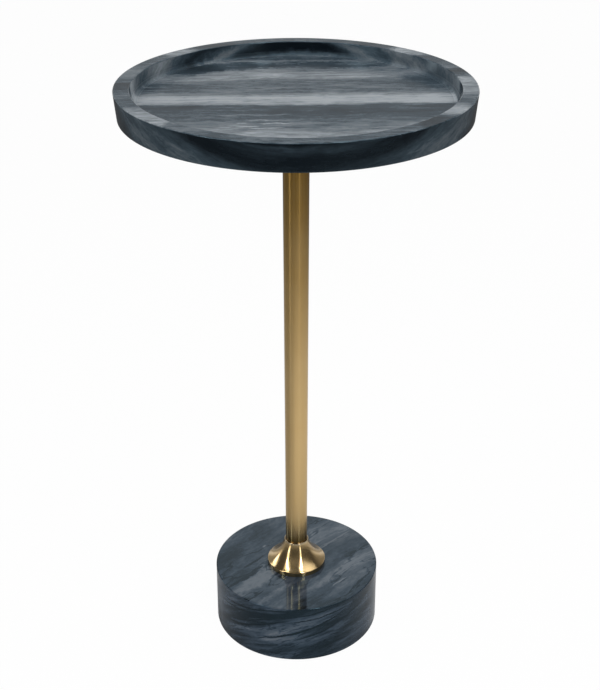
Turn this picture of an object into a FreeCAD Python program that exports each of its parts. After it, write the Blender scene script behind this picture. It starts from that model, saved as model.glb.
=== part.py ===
# Round wine table: a dished marble top on a tapered brass post, a flared collar and a marble base.
# Millimetres, +Z up, origin on the floor at the post's axis.
import FreeCAD, Part
import os

import Sketcher

doc = FreeCAD.newDocument("wine_table")

# Driving dimensions: one cell each, in millimetres unless the note says otherwise.
DIMENSIONS = [
    ("tray_diameter", 305.0, "outside of the top at its rim"),
    ("tray_thickness", 24.0, "top, underside to rim"),
    ("tray_taper", 2.3, "how far the outer wall leans in from rim to underside"),
    ("rim_width", 13.5, "flat rim around the recess"),
    ("recess_depth", 12.0, "rim to tray floor"),
    ("recess_taper", 3.2, "how far the recess wall leans in from rim to floor"),
    ("recess_fillet", 3.0, "hollow round where the recess wall meets the floor"),
    ("tray_edge_round", 1.0, "eased edges of the rim and the underside"),
    ("insert_circle", 76.0, "circle that the inserts and plate screws lie on"),
    ("insert_count", 4.0, "number of inserts, and of plate screws"),
    ("insert_diameter", 8.0, "outside of a threaded insert"),
    ("insert_length", 8.0, "length of a threaded insert"),
    ("glue_gap", 0.15, "gap all round an insert in the marble"),
    ("plate_diameter", 100.0, "mounting plate under the top"),
    ("plate_thickness", 3.0, "mounting plate"),
    ("plate_edge_chamfer", 0.6, "lower edge of the mounting plate"),
    ("screw_diameter", 5.0, "plate screw shank"),
    ("screw_engagement", 7.0, "plate screw length inside its insert"),
    ("screw_head_diameter", 9.5, "plate screw head"),
    ("screw_head_height", 2.7, "plate screw head"),
    ("screw_head_bevel", 1.4, "bevel round the plate screw head"),
    ("screw_socket_width", 3.4, "corner to corner of the screw's hexagon socket"),
    ("screw_socket_depth", 1.6, "depth of the screw's hexagon socket"),
    ("screw_hole_clearance", 0.5, "plate hole over the screw shank, on the diameter"),
    ("thread_clearance", 0.2, "threaded bore over its screw, on the diameter"),
    ("stud_diameter", 10.0, "stud welded into the mounting plate"),
    ("stud_reach", 20.0, "stud length below the mounting plate"),
    ("stud_chamfer", 1.2, "lead-in at the stud's end"),
    ("weld_gap", 0.1, "plate hole over the stud, on the diameter"),
    ("post_length", 456.0, "tapered post from foot to plate"),
    ("post_top_diameter", 23.5, "outside of the post under the top"),
    ("post_foot_diameter", 20.5, "outside of the post at its foot"),
    ("post_wall", 1.5, "post tube wall"),
    ("plug_length", 26.0, "threaded plugs in the two ends of the post"),
    ("plug_gap", 0.05, "gap all round a plug in the tube"),
    ("plug_chamfer", 1.0, "lead-in at the mouth of a plug's thread"),
    ("seat_diameter", 32.0, "nylon washer under the post's foot"),
    ("seat_thickness", 1.0, "nylon washer under the post's foot"),
    ("collar_diameter", 56.5, "collar where it rests on the base"),
    ("collar_height", 27.5, "collar from base to lip"),
    ("collar_skirt", 4.6, "upright band at the collar's foot"),
    ("collar_flare_radius", 35.0, "hollow curve of the collar from its skirt to its lip"),
    ("collar_wall", 1.0, "collar sheet"),
    ("collar_clearance", 0.2, "gap all round between the collar's lip and the post"),
    ("base_diameter", 158.6, "marble base"),
    ("base_height", 59.5, "marble base"),
    ("base_edge_chamfer", 0.7, "eased edges of the base"),
    ("bolt_diameter", 10.0, "base bolt shank"),
    ("bolt_engagement", 19.8, "base bolt length inside the lower plug"),
    ("bolt_tip_chamfer", 1.2, "lead-in at the base bolt's tip"),
    ("bolt_head_width", 17.0, "across the flats of the base bolt's head"),
    ("bolt_head_height", 6.4, "base bolt head"),
    ("bolt_head_chamfer", 1.0, "height of the chamfer on the head's corners"),
    ("bolt_hole_clearance", 2.0, "bore in the base over the bolt, on the diameter"),
    ("washer_bore_clearance", 0.5, "washer bores over the bolt, on the diameter"),
    ("washer_diameter", 34.0, "flat washer under the base bolt"),
    ("washer_thickness", 2.5, "flat washer under the base bolt"),
    ("spring_washer_diameter", 18.1, "split spring washer, pressed flat"),
    ("spring_washer_thickness", 2.2, "split spring washer, pressed flat"),
    ("spring_washer_slit", 1.2, "slit in the spring washer"),
    ("counterbore_depth", 20.0, "pocket in the base's underside for the bolt head"),
    ("counterbore_clearance", 4.0, "pocket over the flat washer, on the diameter"),
    ("pad_diameter", 18.0, "rubber pads under the base"),
    ("pad_thickness", 2.0, "rubber pads under the base"),
    ("pad_edge_chamfer", 0.4, "lower edge of a pad"),
    ("pad_circle", 122.0, "circle that the pads lie on"),
    ("pad_count", 4.0, "number of pads"),
]

sheet = doc.addObject("Spreadsheet::Sheet", "dims")
for line, (name, value, note) in enumerate(DIMENSIONS, start=1):
    sheet.set(f"A{line}", note)
    sheet.set(f"B{line}", str(value))
    sheet.setAlias(f"B{line}", name)
doc.recompute()

# Heights of the seats, stacked up from the floor.
BASE_FOOT = "dims.pad_thickness"
WASHER_FOOT = f"({BASE_FOOT} + dims.counterbore_depth - dims.washer_thickness)"
SPRING_FOOT = f"({WASHER_FOOT} - dims.spring_washer_thickness)"
BOLT_FOOT = f"({SPRING_FOOT} - dims.bolt_head_height)"
BASE_TOP = f"({BASE_FOOT} + dims.base_height)"
POST_FOOT = f"({BASE_TOP} + dims.seat_thickness)"
POST_TOP = f"({POST_FOOT} + dims.post_length)"
TRAY_FOOT = f"({POST_TOP} + dims.plate_thickness)"

# Formulas that more than one piece reads.
POST_SLOPE = "((dims.post_top_diameter - dims.post_foot_diameter) / 2 / dims.post_length)"
INSERT_RADIUS = "dims.insert_circle / 2"
HEXAGON = 6

# The pieces that are written out, in the order they are made.
pieces = []


def new_body(label, foot):
    """An empty body whose own base plane is lifted to the height formula foot."""
    body = doc.addObject("PartDesign::Body", label)
    body.Label = label
    body.AllowCompound = True
    body.setExpression("Placement.Base.z", foot)
    pieces.append(body)
    return body


def origin_part(body, role):
    """The body's own origin plane or axis with the given role."""
    return next(part for part in body.Origin.OriginFeatures if part.Role == role)


def new_sketch(body, name, plane, across=None):
    """A sketch on an origin plane of its body, moved along X by the formula across."""
    sketch = body.newObject("Sketcher::SketchObject", name)
    sketch.AttachmentSupport = [(origin_part(body, plane), "")]
    sketch.MapMode = "FlatFace"
    if across:
        sketch.setExpression("AttachmentOffset.Base.x", across)
    return sketch


def number(formula):
    """The present value of a formula; None stands for zero."""
    if formula is None:
        return 0.0
    result = sheet.evalExpression(formula)
    return float(getattr(result, "Value", result))


def point_at(place):
    """A sketch point from a place of two formulas."""
    return FreeCAD.Vector(number(place[0]), number(place[1]), 0)


def pin_point(sketch, geometry, end, place):
    """Fixes one point of a sketch at a place of two formulas; None puts it on that axis."""
    for kind, axis, formula in (("DistanceX", -2, place[0]), ("DistanceY", -1, place[1])):
        if formula is None:
            sketch.addConstraint(Sketcher.Constraint("PointOnObject", geometry, end, axis))
        else:
            rule = Sketcher.Constraint(kind, -1, 1, geometry, end, number(formula))
            sketch.setExpression(f"Constraints[{sketch.addConstraint(rule)}]", formula)


def draw_outline(sketch, places, arcs=None):
    """A closed outline through places, each pinned by its own formulas.

    Side number i runs from place i to the next one. It is straight, or an arc about the centre
    and with the radius that arcs gives for i.
    """
    arcs = arcs or {}
    corners = [point_at(place) for place in places]
    ends = []
    for index, start in enumerate(corners):
        stop = corners[(index + 1) % len(corners)]
        if index not in arcs:
            sketch.addGeometry(Part.LineSegment(start, stop))
            ends.append((1, 2))
            continue
        centre, radius = arcs[index]
        hub = point_at(centre)
        circle = Part.Circle(hub, FreeCAD.Vector(0, 0, 1), number(radius))
        leftwards = (start - hub).cross(stop - hub).z > 0
        first, last = (start, stop) if leftwards else (stop, start)
        sketch.addGeometry(Part.ArcOfCircle(circle, circle.parameter(first), circle.parameter(last)))
        ends.append((1, 2) if leftwards else (2, 1))
    for index in range(len(corners)):
        after = (index + 1) % len(corners)
        sketch.addConstraint(Sketcher.Constraint("Coincident", index, ends[index][1], after, ends[after][0]))
    for index, place in enumerate(places):
        pin_point(sketch, index, ends[index][0], place)
    for index, (centre, radius) in arcs.items():
        rule = Sketcher.Constraint("Radius", index, number(radius))
        sketch.setExpression(f"Constraints[{sketch.addConstraint(rule)}]", radius)


def draw_circle(sketch, diameter):
    """A circle about the sketch's origin, with its diameter from a formula."""
    circle = Part.Circle(FreeCAD.Vector(), FreeCAD.Vector(0, 0, 1), number(diameter) / 2)
    index = sketch.addGeometry(circle)
    sketch.addConstraint(Sketcher.Constraint("Coincident", index, 3, -1, 1))
    rule = Sketcher.Constraint("Diameter", index, number(diameter))
    sketch.setExpression(f"Constraints[{sketch.addConstraint(rule)}]", diameter)


def must_cut(body, before, name):
    """Stops the build if a cut left its body as big as it was."""
    if not body.Shape.Volume < before:
        raise RuntimeError(f"{name} cuts nothing from {body.Label}")


def turned(body, name, places, across=None, arcs=None, cut=False):
    """A full turn of an outline of places (radius, height), added or cut away."""
    sketch = new_sketch(body, name, "XZ_Plane", across)
    draw_outline(sketch, places, arcs)
    doc.recompute()
    before = body.Shape.Volume if cut else 0.0
    feature = body.newObject("PartDesign::Groove" if cut else "PartDesign::Revolution", f"{name}_turn")
    feature.Profile = sketch
    feature.ReferenceAxis = (sketch, ["V_Axis"])
    feature.Angle = 360.0
    doc.recompute()
    if cut:
        must_cut(body, before, name)
    return feature


def padded(body, sketch, length):
    """A pad upwards from a sketch on the body's base plane."""
    doc.recompute()
    feature = body.newObject("PartDesign::Pad", f"{sketch.Name}_pad")
    feature.Profile = sketch
    feature.setExpression("Length", length)
    doc.recompute()
    return feature


def pocketed(body, sketch, length):
    """A pocket upwards into the body from a sketch on its base plane."""
    doc.recompute()
    before = body.Shape.Volume
    feature = body.newObject("PartDesign::Pocket", f"{sketch.Name}_pocket")
    feature.Profile = sketch
    feature.Reversed = True
    feature.setExpression("Length", length)
    doc.recompute()
    must_cut(body, before, sketch.Name)
    return feature


def pattern_round(body, features, count):
    """Repeats features evenly about the body's upright axis."""
    pattern = body.newObject("PartDesign::PolarPattern", f"{body.Name}_pattern")
    pattern.Originals = features
    pattern.Axis = (origin_part(body, "Z_Axis"), [""])
    pattern.Angle = 360.0
    pattern.setExpression("Occurrences", count)
    body.Tip = pattern
    doc.recompute()


def ring_edges(shape, rings):
    """The names of a shape's circular edges that lie at rings of (radius, height)."""
    near = 1e-4
    names = []
    for radius, height in ((number(r), number(z)) for r, z in rings):
        for index, edge in enumerate(shape.Edges, start=1):
            curve = edge.Curve
            if not isinstance(curve, Part.Circle):
                continue
            if abs(curve.Radius - radius) < near and abs(curve.Center.z - height) < near:
                names.append(f"Edge{index}")
                break
        else:
            raise RuntimeError(f"no edge of radius {radius} at height {height}")
    return names


def rounded(body, name, radius, rings):
    """Fillets the circular edges at rings."""
    base = body.Tip
    feature = body.newObject("PartDesign::Fillet", name)
    feature.Base = (base, ring_edges(base.Shape, rings))
    feature.setExpression("Radius", radius)
    doc.recompute()


def chamfered(body, name, width, rings):
    """Chamfers the circular edges at rings."""
    base = body.Tip
    feature = body.newObject("PartDesign::Chamfer", name)
    feature.Base = (base, ring_edges(base.Shape, rings))
    feature.setExpression("Size", width)
    doc.recompute()


def make_tray_top():
    """The marble top: a turned disc with a dished recess and blind holes for the inserts."""
    body = new_body("tray_top", TRAY_FOOT)
    rim_radius = "dims.tray_diameter / 2"
    foot_radius = f"({rim_radius} - dims.tray_taper)"
    mouth_radius = f"({rim_radius} - dims.rim_width)"
    floor_radius = f"({mouth_radius} - dims.recess_taper)"
    rim = "dims.tray_thickness"
    floor = "(dims.tray_thickness - dims.recess_depth)"
    turned(body, "tray_section", [
        (None, None), (foot_radius, None), (rim_radius, rim),
        (mouth_radius, rim), (floor_radius, floor), (None, floor),
    ])
    rounded(body, "recess_rounding", "dims.recess_fillet", [(floor_radius, floor)])
    rounded(body, "tray_edge_rounding", "dims.tray_edge_round",
            [(rim_radius, rim), (mouth_radius, rim), (foot_radius, None)])
    hole = new_sketch(body, "insert_hole", "XY_Plane", INSERT_RADIUS)
    draw_circle(hole, "dims.insert_diameter + 2 * dims.glue_gap")
    pattern_round(body, [pocketed(body, hole, "dims.insert_length")], "dims.insert_count")


def make_top_inserts():
    """Threaded inserts glued into the underside of the top."""
    body = new_body("top_inserts", TRAY_FOOT)
    ring = new_sketch(body, "insert_ring", "XY_Plane", INSERT_RADIUS)
    draw_circle(ring, "dims.insert_diameter")
    draw_circle(ring, "dims.screw_diameter + dims.thread_clearance")
    pattern_round(body, [padded(body, ring, "dims.insert_length")], "dims.insert_count")


def make_top_plate():
    """The steel plate between the top and the post."""
    body = new_body("top_plate", POST_TOP)
    disc = new_sketch(body, "plate_disc", "XY_Plane")
    draw_circle(disc, "dims.plate_diameter")
    draw_circle(disc, "dims.stud_diameter + dims.weld_gap")
    padded(body, disc, "dims.plate_thickness")
    chamfered(body, "plate_edge", "dims.plate_edge_chamfer", [("dims.plate_diameter / 2", None)])
    hole = new_sketch(body, "plate_hole", "XY_Plane", INSERT_RADIUS)
    draw_circle(hole, "dims.screw_diameter + dims.screw_hole_clearance")
    pattern_round(body, [pocketed(body, hole, "dims.plate_thickness")], "dims.insert_count")


def make_top_plate_screws():
    """Socket screws up through the plate into the inserts."""
    body = new_body("top_plate_screws", f"{POST_TOP} - dims.screw_head_height")
    head = "dims.screw_head_diameter / 2"
    shank = "dims.screw_diameter / 2"
    bevel = "dims.screw_head_bevel"
    seat = "dims.screw_head_height"
    tip = f"{seat} + dims.plate_thickness + dims.screw_engagement"
    screw = turned(body, "screw_section", [
        (None, None), (f"{head} - {bevel}", None), (head, bevel), (head, seat),
        (shank, seat), (shank, tip), (None, tip),
    ], across=INSERT_RADIUS)
    before = body.Shape.Volume
    socket = body.newObject("PartDesign::SubtractivePrism", "screw_socket")
    socket.Polygon = HEXAGON
    socket.setExpression("Circumradius", "dims.screw_socket_width / 2")
    socket.setExpression("Height", "dims.screw_socket_depth")
    socket.setExpression("Placement.Base.x", INSERT_RADIUS)
    doc.recompute()
    must_cut(body, before, socket.Name)
    pattern_round(body, [screw, socket], "dims.insert_count")


def make_plate_stud():
    """The stud welded into the plate, flush with its upper face."""
    body = new_body("plate_stud", f"{POST_TOP} - dims.stud_reach")
    radius = "dims.stud_diameter / 2"
    chamfer = "dims.stud_chamfer"
    top = "dims.stud_reach + dims.plate_thickness"
    turned(body, "stud_section", [
        (None, None), (f"{radius} - {chamfer}", None), (radius, chamfer), (radius, top), (None, top),
    ])


def make_post_tube():
    """The tapered tube between base and top."""
    body = new_body("post_tube", POST_FOOT)
    foot = "dims.post_foot_diameter / 2"
    top = "dims.post_top_diameter / 2"
    length = "dims.post_length"
    turned(body, "post_section", [
        (f"{foot} - dims.post_wall", None), (foot, None), (top, length), (f"{top} - dims.post_wall", length),
    ])


def plug_radius(height):
    """Outside of a plug at a height above the post's foot, just inside the tube's tapered wall."""
    return f"(dims.post_foot_diameter / 2 - dims.post_wall - dims.plug_gap + {POST_SLOPE} * {height})"


def make_upper_plug():
    """The threaded plug in the post's top end, for the plate's stud."""
    foot = "(dims.post_length - dims.plug_length)"
    body = new_body("upper_plug", f"{POST_FOOT} + {foot}")
    bore = "(dims.stud_diameter + dims.thread_clearance) / 2"
    top = "dims.plug_length"
    lead = "dims.plug_chamfer"
    turned(body, "upper_plug_section", [
        (bore, None), (plug_radius(foot), None), (plug_radius("dims.post_length"), top),
        (f"{bore} + {lead}", top), (bore, f"{top} - {lead}"),
    ])


def make_lower_plug():
    """The threaded plug in the post's foot, for the base bolt."""
    body = new_body("lower_plug", POST_FOOT)
    bore = "(dims.bolt_diameter + dims.thread_clearance) / 2"
    top = "dims.plug_length"
    lead = "dims.plug_chamfer"
    turned(body, "lower_plug_section", [
        (f"{bore} + {lead}", None), (plug_radius("0"), None), (plug_radius(top), top),
        (bore, top), (bore, lead),
    ])


def make_flare_collar():
    """The spun collar: an upright skirt, and a hollow flare that rises from it to the lip round the post."""
    body = new_body("flare_collar", BASE_TOP)
    wall = "dims.collar_wall"
    top = "dims.collar_height"
    skirt = "dims.collar_skirt"
    flare = "dims.collar_flare_radius"
    foot = "(dims.collar_diameter / 2)"
    inner_foot = f"({foot} - {wall})"
    post_at_lip = f"(dims.post_foot_diameter / 2 + {POST_SLOPE} * ({top} - dims.seat_thickness))"
    lip = f"({post_at_lip} + dims.collar_clearance + {wall})"
    # The flare's centre lies outside the sheet, square to the middle of the line from lip to skirt.
    reach = f"({foot} - {lip})"
    drop = f"({top} - {skirt})"
    chord = f"sqrt({reach} ^ 2 + {drop} ^ 2)"
    off = f"(sqrt({flare} ^ 2 - {chord} ^ 2 / 4) / {chord})"
    centre_radius = f"(({lip} + {foot}) / 2 + {drop} * {off})"
    centre_height = f"(({top} + {skirt}) / 2 + {reach} * {off})"
    centre = (centre_radius, centre_height)
    # The inner side turns about the same centre, and the lip is cut square to the sheet.
    inner_flare = f"({flare} + {wall})"
    thicker = f"{wall} / {flare}"
    inner_lip = (f"{lip} - ({centre_radius} - {lip}) * {thicker}",
                 f"{top} - ({centre_height} - {top}) * {thicker}")
    inner_drop = f"sqrt({inner_flare} ^ 2 - ({centre_radius} - {inner_foot}) ^ 2)"
    turned(body, "collar_section", [
        (inner_foot, None), (foot, None), (foot, skirt),
        (lip, top), inner_lip, (inner_foot, f"{centre_height} - {inner_drop}"),
    ], arcs={2: (centre, flare), 4: (centre, inner_flare)})


def make_base_block():
    """The marble base, bored for the bolt, with a pocket below for its head and washers."""
    body = new_body("base_block", BASE_FOOT)
    outside = "dims.base_diameter / 2"
    bore = "(dims.bolt_diameter + dims.bolt_hole_clearance) / 2"
    pocket = "(dims.washer_diameter + dims.counterbore_clearance) / 2"
    roof = "dims.counterbore_depth"
    top = "dims.base_height"
    turned(body, "base_section", [
        (pocket, None), (outside, None), (outside, top), (bore, top), (bore, roof), (pocket, roof),
    ])
    chamfered(body, "base_edges", "dims.base_edge_chamfer", [(outside, None), (outside, top)])


def make_ring(label, foot, outside, thickness):
    """A flat ring over the base bolt."""
    body = new_body(label, foot)
    ring = new_sketch(body, f"{label}_ring", "XY_Plane")
    draw_circle(ring, outside)
    draw_circle(ring, "dims.bolt_diameter + dims.washer_bore_clearance")
    padded(body, ring, thickness)
    return body


def make_spring_washer():
    """The split washer, pressed flat under the bolt's head."""
    body = make_ring("base_spring_washer", SPRING_FOOT, "dims.spring_washer_diameter",
                     "dims.spring_washer_thickness")
    slit = new_sketch(body, "washer_slit", "XY_Plane")
    outside = "dims.spring_washer_diameter"
    width = "dims.spring_washer_slit"
    draw_outline(slit, [(None, None), (outside, None), (outside, width), (None, width)])
    pocketed(body, slit, "dims.spring_washer_thickness")


def make_base_bolt():
    """The hexagon bolt that pulls the post down on the base."""
    body = new_body("base_bolt", BOLT_FOOT)
    corner = f"(dims.bolt_head_width / 2 / cos({180 / HEXAGON}))"
    head = body.newObject("PartDesign::AdditivePrism", "bolt_head")
    head.Polygon = HEXAGON
    head.setExpression("Circumradius", corner)
    head.setExpression("Height", "dims.bolt_head_height")
    doc.recompute()
    flat = "dims.bolt_head_width / 2"
    turned(body, "bolt_head_corners", [
        (flat, None), (corner, None), (corner, "dims.bolt_head_chamfer"),
    ], cut=True)
    shank = "dims.bolt_diameter / 2"
    seat = "dims.bolt_head_height"
    grip = "dims.base_height - dims.counterbore_depth + dims.washer_thickness + dims.spring_washer_thickness"
    tip = f"{seat} + {grip} + dims.seat_thickness + dims.bolt_engagement"
    chamfer = "dims.bolt_tip_chamfer"
    turned(body, "bolt_shank", [
        (None, seat), (shank, seat), (shank, f"{tip} - {chamfer}"),
        (f"{shank} - {chamfer}", tip), (None, tip),
    ])


def make_base_pads():
    """Rubber pads stuck under the base."""
    body = new_body("base_pads", "0")
    radius = "dims.pad_diameter / 2"
    chamfer = "dims.pad_edge_chamfer"
    top = "dims.pad_thickness"
    pad = turned(body, "pad_section", [
        (None, None), (f"{radius} - {chamfer}", None), (radius, chamfer), (radius, top), (None, top),
    ], across="dims.pad_circle / 2")
    pattern_round(body, [pad], "dims.pad_count")


make_base_pads()
make_base_block()
make_base_bolt()
make_spring_washer()
make_ring("base_washer", WASHER_FOOT, "dims.washer_diameter", "dims.washer_thickness")
make_ring("post_seat", BASE_TOP, "dims.seat_diameter", "dims.seat_thickness")
make_flare_collar()
make_post_tube()
make_lower_plug()
make_upper_plug()
make_plate_stud()
make_top_plate()
make_top_plate_screws()
make_top_inserts()
make_tray_top()
doc.recompute()

# Nothing is written unless every object is sound.
for item in doc.Objects:
    if "Invalid" in item.State or "Error" in item.State:
        raise RuntimeError(f"{item.Label} failed: {item.State}")
for piece in pieces:
    if piece.Shape.isNull() or not piece.Shape.isValid():
        raise RuntimeError(f"{piece.Label} has no valid shape")

os.makedirs("parts", exist_ok=True)
for piece in pieces:
    piece.Shape.exportStep(f"parts/{piece.Label}.step")
    box = piece.Shape.BoundBox
    print(f"{piece.Label}: {len(piece.Shape.Solids)} solids, {piece.Shape.Volume:.1f} mm3,"
          f" z {box.ZMin:.2f} to {box.ZMax:.2f}")
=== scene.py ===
"""Looks of the round wine table: marble tray and base, brass post and collar, fittings and a studio."""

import math

import bpy
import numpy as np
from bpy.props import FloatProperty, FloatVectorProperty, IntProperty, PointerProperty
from mathutils import Matrix, Vector


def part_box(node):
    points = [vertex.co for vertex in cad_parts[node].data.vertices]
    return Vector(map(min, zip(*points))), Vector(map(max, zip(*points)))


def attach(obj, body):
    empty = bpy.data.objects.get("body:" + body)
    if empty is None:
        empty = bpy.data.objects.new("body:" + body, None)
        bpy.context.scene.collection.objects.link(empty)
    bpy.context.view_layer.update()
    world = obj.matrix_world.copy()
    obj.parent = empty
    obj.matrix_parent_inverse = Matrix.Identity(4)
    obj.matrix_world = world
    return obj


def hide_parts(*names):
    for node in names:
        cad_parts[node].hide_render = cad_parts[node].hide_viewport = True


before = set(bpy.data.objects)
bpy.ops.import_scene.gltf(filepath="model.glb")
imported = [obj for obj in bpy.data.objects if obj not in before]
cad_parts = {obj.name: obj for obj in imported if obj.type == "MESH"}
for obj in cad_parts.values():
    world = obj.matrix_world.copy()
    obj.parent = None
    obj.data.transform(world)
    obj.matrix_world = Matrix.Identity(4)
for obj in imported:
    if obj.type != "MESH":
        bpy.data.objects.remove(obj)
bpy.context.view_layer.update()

bl_info = {
    "name": "Round wine table",
    "version": (1, 0, 0),
    "blender": (4, 5, 0),
    "location": "3D View > Sidebar > Wine table",
    "description": "Dresses the packed frame of a round wine table in marble and brass and lights it",
    "category": "Object",
}

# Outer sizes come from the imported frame, in metres.
TRAY_LOW, TRAY_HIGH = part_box("tray_top")
BASE_LOW, BASE_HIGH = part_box("base_block")
POST_LOW, POST_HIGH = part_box("post_tube")
COLLAR_LOW, COLLAR_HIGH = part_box("flare_collar")
BODY = "root"

# Directions in the frame, with the photo's viewer in front. LEVEL takes the level part of a place.
RIGHT = (1.0, 0.0, 0.0)
FRONT = (0.0, -1.0, 0.0)
BACK = (0.0, 1.0, 0.0)
UP = (0.0, 0.0, 1.0)
DOWN = (0.0, 0.0, -1.0)
LEVEL = (1.0, 1.0, 0.0)
MM_PER_METRE = 1000.0


def length(name, default, description):
    """A size in metres that a user may change."""
    return FloatProperty(name=name, description=description, default=default, min=0.0, precision=5,
                         unit="LENGTH")


def colour(name, default, description):
    """A linear colour that a user may change."""
    return FloatVectorProperty(name=name, description=description, default=default, size=3, min=0.0, max=1.0,
                               subtype="COLOR")


def share(name, default, description):
    """A number from nought to one that a user may change."""
    return FloatProperty(name=name, description=description, default=default, min=0.0, max=1.0,
                         subtype="FACTOR")


def strength(name, default, description):
    """A lamp's brightness, where one is white."""
    return FloatProperty(name=name, description=description, default=default, min=0.0)


class TrayLooks(bpy.types.PropertyGroup):
    """Sizes and stone colours of the tray top."""
    radius: length("Radius", TRAY_HIGH.y, "Outside of the rim")
    rim_width: length("Rim width", 0.0135, "Flat rim round the recess")
    recess_depth: length("Recess depth", 0.012, "Rim to tray floor")
    wall_lean: length("Wall lean", 0.0023, "How far the outer wall leans in towards the underside")
    recess_lean: length("Recess lean", 0.0032, "How far the recess wall leans in towards the floor")
    edge_round: length("Edge rounding", 0.001, "Eased edges of the rim and the underside")
    hollow_round: length("Hollow rounding", 0.003, "Hollow between the recess wall and the floor")
    night: colour("Night stone", (0.0022, 0.0042, 0.0072), "Darkest stone")
    slate: colour("Slate stone", (0.046, 0.068, 0.087), "Middle stone")
    pale: colour("Pale stone", (0.360, 0.394, 0.422), "Palest bands")


class BaseLooks(bpy.types.PropertyGroup):
    """Sizes and stone colours of the base."""
    radius: length("Radius", BASE_HIGH.y, "Outside of the base")
    bore_radius: length("Bore radius", 0.006, "Bore for the bolt")
    pocket_radius: length("Pocket radius", 0.019, "Pocket under the base for the bolt's head")
    pocket_depth: length("Pocket depth", 0.020, "Pocket under the base for the bolt's head")
    edge_round: length("Edge rounding", 0.0007, "Eased edges of the base")
    pocket_round: length("Pocket rounding", 0.0004, "Eased mouth of the pocket")
    bore_round: length("Bore rounding", 0.0003, "Eased ends of the bore and corner of the pocket's roof")
    night: colour("Night stone", (0.0030, 0.0055, 0.0090), "Dark veins")
    slate: colour("Slate stone", (0.044, 0.061, 0.086), "Middle stone")
    pale: colour("Pale stone", (0.180, 0.202, 0.232), "Pale veins")


class PostLooks(bpy.types.PropertyGroup):
    """Sizes and finish of the post."""
    top_radius: length("Top radius", 0.01175, "Outside of the post under the tray")
    foot_radius: length("Foot radius", 0.01025, "Outside of the post at its foot")
    wall: length("Wall", 0.0015, "Tube wall")
    edge_round: length("Edge rounding", 0.0002, "Eased edges of the tube's ends")
    brass: colour("Satin brass", (0.700, 0.490, 0.225), "Colour of the post")


class CollarLooks(bpy.types.PropertyGroup):
    """Sizes and finish of the collar."""
    foot_radius: length("Foot radius", 0.02825, "Outside of the collar on the base")
    lip_radius: length("Lip radius", 0.01154, "Outside of the collar's lip")
    skirt: length("Skirt", 0.0046, "Upright band at the collar's foot")
    flare: length("Flare radius", 0.035, "Hollow curve from the skirt to the lip")
    wall: length("Wall", 0.001, "Sheet thickness")
    edge_round: length("Edge rounding", 0.0009, "Turned edge between the skirt and the flare")
    brass: colour("Polished brass", (0.660, 0.460, 0.205), "Colour of the collar")


class FittingLooks(bpy.types.PropertyGroup):
    """Finishes of the fittings under the tray and the base."""
    zinc: colour("Zinc plate", (0.55, 0.56, 0.57), "Screws, bolt, washers, stud and plugs")
    coat: colour("Black coat", (0.020, 0.020, 0.022), "Mounting plate")
    insert: colour("Insert brass", (0.60, 0.46, 0.22), "Threaded inserts")
    nylon: colour("Nylon", (0.72, 0.71, 0.67), "Washer under the post")
    rubber: colour("Rubber", (0.030, 0.030, 0.032), "Pads under the base")


class StudioSettings(bpy.types.PropertyGroup):
    """Floor, lamps and camera."""
    floor_radius: length("Floor radius", 60.0, "Round pale floor")
    floor_paint: colour("Floor paint", (0.80, 0.80, 0.80), "Colour of the floor")
    floor_white: share("Floor white", 0.98, "How far the floor shows as plain white to the camera")
    floor_gloss: share("Floor in metal", 0.40, "How far metal sees the floor as a glow, dark on the left")
    ceiling: strength("Ceiling", 0.096, "Brightness of the room above the horizon")
    backdrop: strength("Backdrop", 0.28, "Brightness of the room behind the table")
    low_wall: strength("Low wall", 1.0, "Brightness of the room behind the table, just above the horizon")
    horizon: strength("Horizon", 0.80, "Brightness of the room at and below the horizon")
    overhead: strength("Overhead lamp", 1.16, "Soft lamp above the table")
    strips: strength("Side lamps", 1.0, "Share of the full brightness of the lamps round the table")
    spread: FloatProperty(name="Spread", description="Widest angle of a lamp's light, kept in by its grid",
                          default=math.radians(80.0), min=0.2, max=3.1, subtype="ANGLE")
    lens: FloatProperty(name="Lens", description="Focal length in millimetres", default=71.99, min=1.0)
    camera_back: length("Camera distance", 1.1244, "Camera in front of the post's axis")
    camera_height: length("Camera height", 0.8746, "Camera above the floor")


class WineTableSettings(bpy.types.PropertyGroup):
    """All sizes, colours and lamps of the wine table."""
    tray: PointerProperty(type=TrayLooks, name="Tray", description="Tray top")
    base: PointerProperty(type=BaseLooks, name="Base", description="Marble base")
    post: PointerProperty(type=PostLooks, name="Post", description="Brass post")
    collar: PointerProperty(type=CollarLooks, name="Collar", description="Brass collar")
    fittings: PointerProperty(type=FittingLooks, name="Fittings", description="Hidden fittings")
    studio: PointerProperty(type=StudioSettings, name="Studio", description="Floor, lamps and camera")
    segments: IntProperty(name="Segments", description="Sides of a turned piece", default=256,
                          min=32, max=720)


# Squared distances from a cloud's middle, in half sizes, where it starts to fade and where it has gone.
CLOUD_CORE = 0.2
CLOUD_EDGE = 1.8
# The turn of brushed highlights that draws them out across the brush marks, where one is a full turn.
QUARTER_TURN = 0.25
# The levels between which most of a cloud noise lies.
NOISE_MIDDLE = (0.3, 0.7)


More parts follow.
